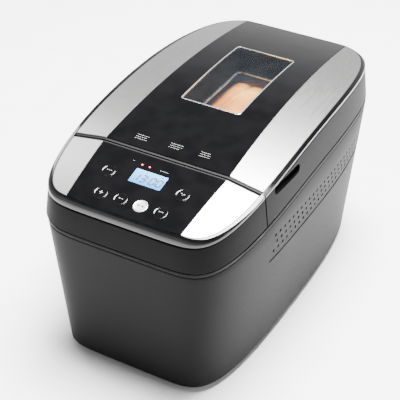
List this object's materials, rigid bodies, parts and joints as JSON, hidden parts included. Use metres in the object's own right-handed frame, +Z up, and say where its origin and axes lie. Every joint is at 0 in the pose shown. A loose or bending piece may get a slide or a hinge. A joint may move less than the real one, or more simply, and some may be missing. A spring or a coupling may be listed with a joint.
{
  "type": "bread machine",
  "caption": "Long two-paddle bread machine with an arched hinged lid, viewing window, lift-out pan, belt drive and push-button control end.",
  "frame": {"origin": "middle of the footprint, on the worktop", "axes": "+Z up, front with the controls towards -Y, +X to the right of someone who faces the front"},
  "size_m": [0.272, 0.452, 0.2749],
  "materials": {
    "casing": "fine moulded grain",
    "dark_plastic": "moulded",
    "grille": "moulded, with rows of holes",
    "rubber": "matte",
    "belt": "ribbed rubber belt",
    "gloss_black": "polished",
    "frame_black": "polished",
    "silver_button": "silver lacquer",
    "steel_strip": "satin, brushed along its length",
    "display": "lit display behind a clear lens",
    "display_module": "board and display glass",
    "lights": "clear tinted domes",
    "board": "solder resist",
    "chamber_sheet": "drawn sheet",
    "element_sheath": "heat-darkened sheath",
    "clip_steel": "pressed sheet",
    "sensor": "turned",
    "cast_aluminium": "cast",
    "zinc_sheet": "zinc plated",
    "bronze": "sintered bronze",
    "motor_can": "plated can",
    "shaft_steel": "ground",
    "pulley": "moulded nylon",
    "non_stick": "non-stick coating",
    "bail_steel": "drawn wire",
    "glass": "clear",
    "window_frame": "folded sheet",
    "liner": "pressed sheet",
    "grip_black": "moulded"
  },
  "bodies": {
    "case": {"housing": "casing", "control_housing": "casing", "base_plate": "dark_plastic", "top_deck": "dark_plastic", "left_vent_grille": "grille", "right_vent_grille": "grille", "rubber_feet": "rubber", "cord_gland": "rubber", "drive_belt": "belt", "link_belt": "belt", "control_panel": "gloss_black", "control_frame": "frame_black", "left_control_trim": "steel_strip", "right_control_trim": "steel_strip", "lcd_lens": "display", "lcd_module": "display_module", "indicator_lights": "lights", "control_board": "board", "power_board": "board", "baking_chamber": "chamber_sheet", "heating_element": "element_sheath", "element_clips": "clip_steel", "pan_clips": "clip_steel", "motor_bracket": "clip_steel", "temperature_sensor": "sensor", "pan_seat": "cast_aluminium", "drive_bracket": "zinc_sheet", "shaft_bushes": "bronze", "motor": "motor_can", "hinge_pins": "shaft_steel"},
    "lid": {"lid_skirt": "casing", "lid_frame": "frame_black", "lid_panel": "gloss_black", "left_lid_trim": "steel_strip", "right_lid_trim": "steel_strip", "window_outer_glass": "glass", "window_frame": "window_frame", "window_inner_glass": "glass", "lid_liner": "liner", "grip_pockets": "grip_black"},
    "programme_key": {"programme_button": "gloss_black"},
    "plus_key": {"plus_button": "gloss_black"},
    "minus_key": {"minus_button": "gloss_black"},
    "start_stop_key": {"start_stop_button": "silver_button"},
    "crust_key": {"crust_button": "gloss_black"},
    "weight_key": {"weight_button": "gloss_black"},
    "motor_drive": {"motor_shaft": "shaft_steel", "motor_pulley": "pulley"},
    "front_drive": {"front_pulley": "pulley", "front_drive_shaft": "shaft_steel"},
    "rear_drive": {"rear_pulley": "pulley", "rear_drive_shaft": "shaft_steel"},
    "pan": {"bread_pan": "non_stick", "pan_base": "cast_aluminium", "pan_bushes": "bronze"},
    "handle": {"pan_handle": "bail_steel"},
    "front_kneader": {"front_pan_shaft": "shaft_steel"},
    "rear_kneader": {"rear_pan_shaft": "shaft_steel"},
    "front_blade": {"front_paddle": "non_stick"},
    "rear_blade": {"rear_paddle": "non_stick"}
  },
  "joints": [
    {"name": "lid_hinge", "type": "hinge", "parent": "case", "child": "lid", "pos_m": [0, 0.217, 0.22091], "axis": [-1, 0, 0], "range_deg": [0, 80]},
    {"name": "programme_press", "type": "slide", "parent": "case", "child": "programme_key", "axis": [0, 0.223, -0.9748], "range_m": [0, 0.001], "stiffness_N_per_m": 400},
    {"name": "plus_press", "type": "slide", "parent": "case", "child": "plus_key", "axis": [0, 0.2545, -0.9671], "range_m": [0, 0.001], "stiffness_N_per_m": 400},
    {"name": "minus_press", "type": "slide", "parent": "case", "child": "minus_key", "axis": [0, 0.2545, -0.9671], "range_m": [0, 0.001], "stiffness_N_per_m": 400},
    {"name": "start_stop_press", "type": "slide", "parent": "case", "child": "start_stop_key", "axis": [0, 0.2545, -0.9671], "range_m": [0, 0.001], "stiffness_N_per_m": 400},
    {"name": "crust_press", "type": "slide", "parent": "case", "child": "crust_key", "axis": [0, 0.2545, -0.9671], "range_m": [0, 0.001], "stiffness_N_per_m": 400},
    {"name": "weight_press", "type": "slide", "parent": "case", "child": "weight_key", "axis": [0, 0.223, -0.9748], "range_m": [0, 0.001], "stiffness_N_per_m": 400},
    {"name": "pan_lift", "type": "slide", "parent": "case", "child": "pan", "axis": [0, 0, 1], "range_m": [0, 0.01]},
    {"name": "handle_swing", "type": "hinge", "parent": "pan", "child": "handle", "pos_m": [0, 0.044, 0.184], "axis": [0, -1, 0], "range_deg": [0, 18]},
    {"name": "front_drive_spin", "type": "hinge", "parent": "case", "child": "front_drive", "pos_m": [0, -0.021, 0.04], "axis": [0, 0, 1], "continuous": true},
    {"name": "rear_drive_spin", "type": "hinge", "parent": "case", "child": "rear_drive", "pos_m": [0, 0.109, 0.04], "axis": [0, 0, 1], "continuous": true},
    {"name": "motor_spin", "type": "hinge", "parent": "case", "child": "motor_drive", "pos_m": [0.044, -0.164, 0.04], "axis": [0, 0, 1], "continuous": true},
    {"name": "front_kneader_spin", "type": "hinge", "parent": "pan", "child": "front_kneader", "pos_m": [0, -0.021, 0.08], "axis": [0, 0, 1], "continuous": true},
    {"name": "rear_kneader_spin", "type": "hinge", "parent": "pan", "child": "rear_kneader", "pos_m": [0, 0.109, 0.08], "axis": [0, 0, 1], "continuous": true},
    {"name": "front_blade_lift", "type": "slide", "parent": "front_kneader", "child": "front_blade", "axis": [0, 0, 1], "range_m": [0, 0.03]},
    {"name": "rear_blade_lift", "type": "slide", "parent": "rear_kneader", "child": "rear_blade", "axis": [0, 0, 1], "range_m": [0, 0.03]}
  ],
  "couplings": [
    {"joint": "rear_drive_spin", "follows": "front_drive_spin", "ratio": 1},
    {"joint": "motor_spin", "follows": "front_drive_spin", "ratio": 3.4444},
    {"joint": "front_kneader_spin", "follows": "front_drive_spin", "ratio": 1},
    {"joint": "rear_kneader_spin", "follows": "front_drive_spin", "ratio": 1}
  ]
}
